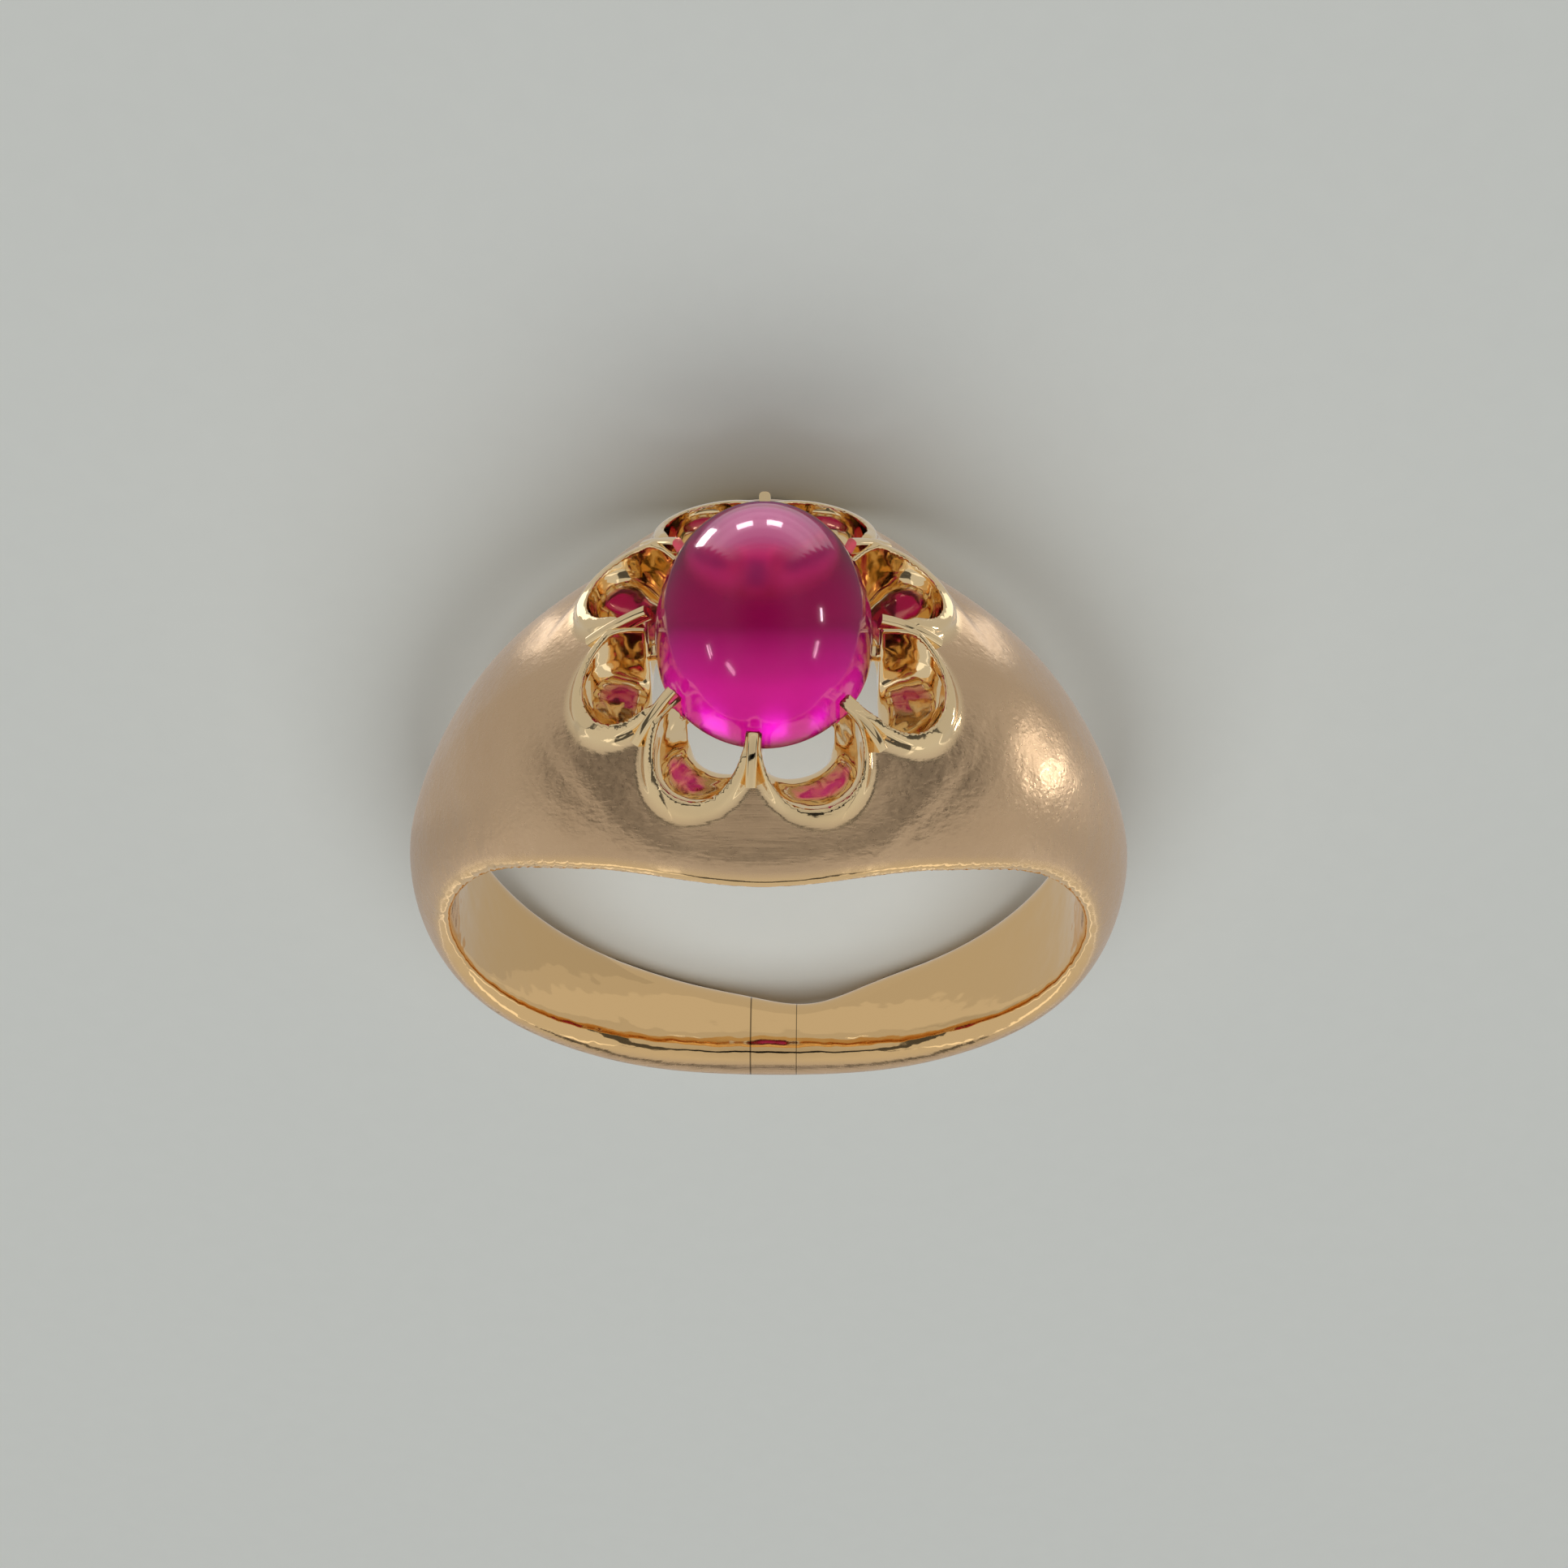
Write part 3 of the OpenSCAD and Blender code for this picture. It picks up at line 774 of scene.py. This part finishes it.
class RING_OT_claws(bpy.types.Operator):
    """Builds the claws that hold the stone"""

    bl_idname = "ring.claws"
    bl_label = "Build the claws"

    def execute(self, context):
        scene = context.scene
        crown = scene.ring_crown
        stone = scene.ring_stone
        starts = bpy.data.meshes.new("claw_starts")
        starts.from_pydata([(0, 0, 0)] * len(CLAWS), [], [])
        turns, grips, tips = [], [], []
        for i, row in enumerate(CLAWS):
            turn = math.radians(claw_angle(i))
            rise = crown.claw_rise + row[TIP] - TIP_ROUND
            turns.append(-turn)
            room = CLAW_ROOM + HIGH_CLAW_ROOM * max(row[TIP], 0)
            grips.append(stone_side(turn, stone) * math.sqrt(1 - (rise / stone.dome) ** 2) + room)
            tips.append(stone.girdle + rise)
        store(starts, "turn", turns)
        store(starts, "grip", grips)
        store(starts, "tip", tips)
        edge = crown.rim + crown.reach
        mesh = grown(claw_tree(), starts, {
            "Thickness": crown.claw_thick,
            "Depth": crown.claw_depth,
            "Root reach": ROOT_REACH,
            "Root height": edge - ROOT_REACH - ROOT_SUNK,
            "Knee reach": KNEE_REACH,
            "Knee height": edge - KNEE_REACH - KNEE_SUNK,
        })
        mesh.transform(REST @ STAND)
        store(mesh, "polish", [1.0] * len(mesh.vertices))
        place("claws", mesh, bpy.data.materials["gold_14ct_worn"], "gold", "ring_mount")
        return {"FINISHED"}


class RING_OT_stone(bpy.types.Operator):
    """Builds the stone"""

    bl_idname = "ring.stone"
    bl_label = "Build the stone"

    def execute(self, context):
        stone = context.scene.ring_stone
        base = bpy.data.meshes.new("stone_base")
        mesh = grown(stone_tree(), base, {
            "Half width": stone.wide,
            "Half length": stone.long,
            "Dome": stone.dome,
            "Base": stone.base,
        })
        mesh.transform(REST @ Matrix.Translation((0, stone.girdle, 0)) @ STAND)
        place("ruby", mesh, polished_ruby(context.scene.ring_finish.ruby), "ruby", "cabochon_stone")
        return {"FINISHED"}


# The photograph's camera, in the ring's own frame: its height and turn round the ring, its roll, its
# distance from the finger hole's middle in millimetres, the picture's scale there in pixels per
# millimetre, and the pixel at which that middle shows
VIEW_HEIGHT = math.radians(55.7)
VIEW_TURN = math.radians(1.12)
VIEW_ROLL = math.radians(-0.69)
VIEW_DISTANCE = 88.0
VIEW_SCALE = 42.43
VIEW_MIDDLE = (947.0, 1069.0)


def view_axes():
    """The camera's right, up and backward directions, at rest."""
    back = Vector((math.cos(VIEW_HEIGHT) * math.sin(VIEW_TURN), math.sin(VIEW_HEIGHT),
                   math.cos(VIEW_HEIGHT) * math.cos(VIEW_TURN)))
    level = Vector((math.cos(VIEW_TURN), 0, -math.sin(VIEW_TURN)))
    upright = back.cross(level)
    right = level * math.cos(VIEW_ROLL) + upright * math.sin(VIEW_ROLL)
    up = upright * math.cos(VIEW_ROLL) - level * math.sin(VIEW_ROLL)
    return turned(right), turned(up), turned(back)


# Lamps as rows of their place at rest and their width and height, in millimetres, and their brightness,
# all set to suit the photograph. Each group lights only some pieces, so the groups aren't one real
# studio.
WIDE, HIGH, BRIGHT = range(3, 6)
# The white walls and ceiling of the room
ROOM = {
    "ceiling": (0, -5, 300, 600, 430, 0.53),
    "left_wall": (-300, -90, 130, 440, 300, 0.53),
    "right_wall": (300, -90, 130, 440, 300, 0.54),
    "front_wall": (0, -300, 100, 600, 240, 0.52),
    "back_wall": (0, 300, 130, 840, 300, 0.46),
}
# The table as the gold mirrors it. Those in the middle lie in the finger hole and show in the bore, a
# little brighter towards the middle.
TABLE = {
    "table_behind": (0.0, 148.1, 0.1, 600.0, 303.8, 0.45),
    "table_front": (0.0, -154.6, 0.1, 600.0, 290.8, 0.45),
    "table_left": (-151.5, -6.5, 0.1, 297.0, 5.4, 0.38),
    "table_left_near": (-2.4, -6.5, 0.1, 1.2, 5.4, 0.45),
    "table_middle": (-0.3, -6.5, 0.1, 3.0, 5.4, 0.53),
    "table_right": (150.6, -6.5, 0.1, 298.8, 5.4, 0.44),
}
# Window bars that show as streaks on the sides of the dome
STREAKS = {
    "left_window": (-270, -20, 140, 5, 48, 9.0),
    "left_window_bar": (-266, -10, 148, 4, 44, 7.0),
    "left_front_window": (-181, -39, 245, 4, 62, 8.0),
    "left_front_window_bar": (-177, -29, 249, 4, 58, 8.0),
    "right_window": (294, 67, 46, 12, 44, 12.0),
    "right_front_window": (272, -13, 135, 6, 62, 8.0),
    "right_front_window_bar": (269, -4, 144, 3, 50, 6.0),
}
# Small lamps behind the ring that show as windows near the top of the dome
WINDOWS = {
    "window_left": (-4.8, 12.2, 1.2, 1.7, 1.5, 9.0),
    "window_middle": (-2.1, 15.6, 1.2, 1.8, 1.1, 6.0),
    "window_right": (1.2, 15.6, 1.2, 1.7, 1.1, 6.0),
}
# Other small lamps, not the ones above, that glow through the stone along its lower edge
GLOWS = {
    "glow_left": (1.8, 14.3, 1.2, 1.1, 0.7, 8.0),
    "glow_middle": (-0.5, 14.4, 1.2, 0.9, 0.6, 8.0),
    "glow_right": (-2.3, 14.5, 1.2, 0.7, 0.5, 6.0),
}
# White cards on the table that are seen only through the stone
CARDS_BEHIND_STONE = {
    "card_behind": (0.0, 17.1, 0.3, 18.0, 6.0, 2.05),
    "card_further": (0.0, 23.0, 0.3, 24.0, 5.8, 1.25),
    "card_third": (0.0, 30.0, 0.3, 32.0, 8.2, 0.85),
    "card_last": (0.0, 43.0, 0.3, 46.0, 17.8, 0.6),
}
# A pale card under the stone, which hides the dark well from above
CARD_UNDER_STONE = {"card_under": (*np.round(at_rest((0, 10.3, 0)) / MM, 3), 3.6, 4.2, 0.3)}
# White cards on the table beside the shoulders, and small windows that glint on them
CARDS_BESIDE = {
    "card_left": (-8.6, 7.6, 0.3, 2.4, 3.0, 1.2),
    "card_right": (8.6, 7.6, 0.3, 2.4, 3.0, 0.8),
}
GLINTS = {
    "glint_right": (21.0, 2.0, 2.0, 1.6, 2.3, 10.0),
    "glint_upper": (21.0, 5.4, 2.0, 1.3, 1.3, 8.0),
}
DAYLIGHT = linear("#90E0FF")
SKY = linear("#BCC8FF")
WHITE = linear("#FFFFFF")
GOLD_PIECES = ("gold_mount", "claws")
RUBY = ("ruby",)
FLOOR = ("floor",)
BACKDROP = {"backdrop_light": (0, 0, 400, 700, 700, 1.42)}


def lamp(name, row, away, along, colour):
    """A rectangular lamp that shines against one direction, its width along another."""
    light = bpy.data.lights.new(name, "AREA")
    light.shape = "RECTANGLE"
    light.size = row[WIDE] * MM
    light.size_y = row[HIGH] * MM
    light.energy = row[BRIGHT] * math.pi * light.size * light.size_y
    light.color = colour[:3]
    away = away.normalized()
    side = (along - away * along.dot(away)).normalized()
    stand = bpy.data.objects.new(name, light)
    turn = Matrix((side, away.cross(side), away)).transposed()
    stand.matrix_world = Matrix.Translation(Vector(row[:WIDE]) * MM) @ turn.to_4x4()
    bpy.context.scene.collection.objects.link(stand)
    return stand


def light_group(table, lit, mirrored=True, seen_through=True, colour=WHITE, away=None, along=None):
    """Lamps that light only some pieces, and that show in mirrors, through the stone or both."""
    stone = Vector(at_rest((0, 12, 0))) / MM
    receivers = bpy.data.collections.new("lit_by_" + next(iter(table)))
    for name in lit:
        receivers.objects.link(bpy.data.objects[name])
    for name, row in table.items():
        out = away or Vector(row[:WIDE]) - stone
        flat = along or Vector((0, 1, 0) if abs(out.normalized().x) > 0.8 else (1, 0, 0))
        stand = lamp(name, row, out, flat, colour)
        stand.visible_camera = False
        stand.visible_glossy = mirrored
        stand.visible_transmission = seen_through
        stand.light_linking.receiver_collection = receivers


def pale_wall():
    """Strips on the table behind the ring, brightest near it, that the top of the dome mirrors."""
    edges = [10.8 + 1.2 * (1.3 ** k - 1) / 0.3 for k in range(12)]
    strips = {}
    for k, (low, high) in enumerate(zip(edges, edges[1:])):
        middle = (low + high) / 2
        bright = 1.05 * math.exp(-abs(middle - 16) / (11 if middle > 16 else 4))
        strips[f"strip_{k}"] = (0.0, middle, 0.2, 13.0 + 1.1 * (middle - 12), high - low, bright)
    return strips


def studio_world():
    """A dim room, dark where the camera and its holder stand."""
    world = bpy.data.worlds.new("studio")
    world.use_nodes = True
    tree = world.node_tree
    way = add(tree, "ShaderNodeTexCoord").outputs["Generated"]
    facing = add(tree, "ShaderNodeVectorMath", {0: way, 1: view_axes()[2]},
                 operation="DOT_PRODUCT").outputs["Value"]
    light = add(tree, "ShaderNodeMapRange", {"Value": facing, "From Min": 0.99, "From Max": 0.7,
                                             "To Min": 0.0, "To Max": 0.08}).outputs[0]
    tree.links.new(light, tree.nodes["Background"].inputs["Strength"])
    tree.nodes["Background"].inputs["Color"].default_value = WHITE
    return world


class RING_OT_stage(bpy.types.Operator):
    """Builds the floor, the light and the camera"""

    bl_idname = "ring.stage"
    bl_label = "Set the stage"

    def execute(self, context):
        scene = context.scene
        half = 0.6
        corners = np.array([(-half, -half, 0), (half, -half, 0), (half, half, 0), (-half, half, 0)])
        floor = bpy.data.objects.new("floor", new_mesh("floor", corners, np.array([(0, 1, 2, 3)])))
        floor.data.materials.append(painted_floor(scene.ring_finish.floor))
        scene.collection.objects.link(floor)
        floor.visible_glossy = False

        scene.world = studio_world()
        right_way, up_way, back_way = view_axes()
        down = Vector((0, 0, -1))
        light_group(ROOM, GOLD_PIECES)
        light_group(ROOM, RUBY, mirrored=False)
        light_group(STREAKS, RUBY, seen_through=False, along=back_way)
        light_group(WINDOWS, RUBY, seen_through=False)
        light_group(GLOWS, RUBY, mirrored=False, colour=DAYLIGHT)
        light_group(TABLE, GOLD_PIECES, away=down)
        light_group(pale_wall(), RUBY, seen_through=False, away=down)
        light_group(CARD_UNDER_STONE, RUBY, mirrored=False, away=turned((0, -1, 0)))
        light_group(CARDS_BEHIND_STONE, RUBY, mirrored=False, colour=SKY, away=down)
        light_group(CARDS_BESIDE, GOLD_PIECES, away=down)
        light_group(GLINTS, GOLD_PIECES)
        light_group(BACKDROP, FLOOR)
        scene.view_settings.view_transform = "Standard"

        middle = (IMAGE_SIZE / 2,) * 2
        aside = (VIEW_MIDDLE[0] - middle[0]) / VIEW_SCALE
        below = (VIEW_MIDDLE[1] - middle[1]) / VIEW_SCALE
        away = back_way * VIEW_DISTANCE - right_way * aside + up_way * below
        spot = Vector(at_rest((0, 0, 0))) + away * MM
        data = bpy.data.cameras.new("camera")
        data.lens = VIEW_SCALE * VIEW_DISTANCE / IMAGE_SIZE * data.sensor_width
        data.clip_start = 0.005
        camera = bpy.data.objects.new("camera", data)
        turn = Matrix((right_way, up_way, back_way)).transposed()
        camera.matrix_world = Matrix.Translation(spot) @ turn.to_4x4()
        scene.collection.objects.link(camera)
        scene.camera = camera
        return {"FINISHED"}


class RING_PT_panel(bpy.types.Panel):
    """Lists the ring's sizes, finishes and pieces"""

    bl_idname = "RING_PT_panel"
    bl_label = "Cabochon ring"
    bl_space_type = "VIEW_3D"
    bl_region_type = "UI"
    bl_category = "Ring"

    def draw(self, context):
        for group in (context.scene.ring_band, context.scene.ring_crown, context.scene.ring_stone,
                      context.scene.ring_finish):
            box = self.layout.box()
            for name in group.__annotations__:
                box.prop(group, name)
        for operator in OPERATORS:
            self.layout.operator(operator.bl_idname)


OPERATORS = (RING_OT_mount, RING_OT_claws, RING_OT_stone, RING_OT_stage)
CLASSES = (BandSizes, CrownSizes, StoneSizes, Finish) + OPERATORS + (RING_PT_panel,)


def register():
    for item in CLASSES:
        bpy.utils.register_class(item)
    bpy.types.Scene.ring_band = bpy.props.PointerProperty(type=BandSizes)
    bpy.types.Scene.ring_crown = bpy.props.PointerProperty(type=CrownSizes)
    bpy.types.Scene.ring_stone = bpy.props.PointerProperty(type=StoneSizes)
    bpy.types.Scene.ring_finish = bpy.props.PointerProperty(type=Finish)


def unregister():
    for name in ("ring_band", "ring_crown", "ring_stone", "ring_finish"):
        delattr(bpy.types.Scene, name)
    for item in reversed(CLASSES):
        bpy.utils.unregister_class(item)


def main():
    register()
    bpy.ops.ring.mount()
    bpy.ops.ring.claws()
    bpy.ops.ring.stone()
    bpy.ops.ring.stage()


if __name__ == "__main__":
    main()
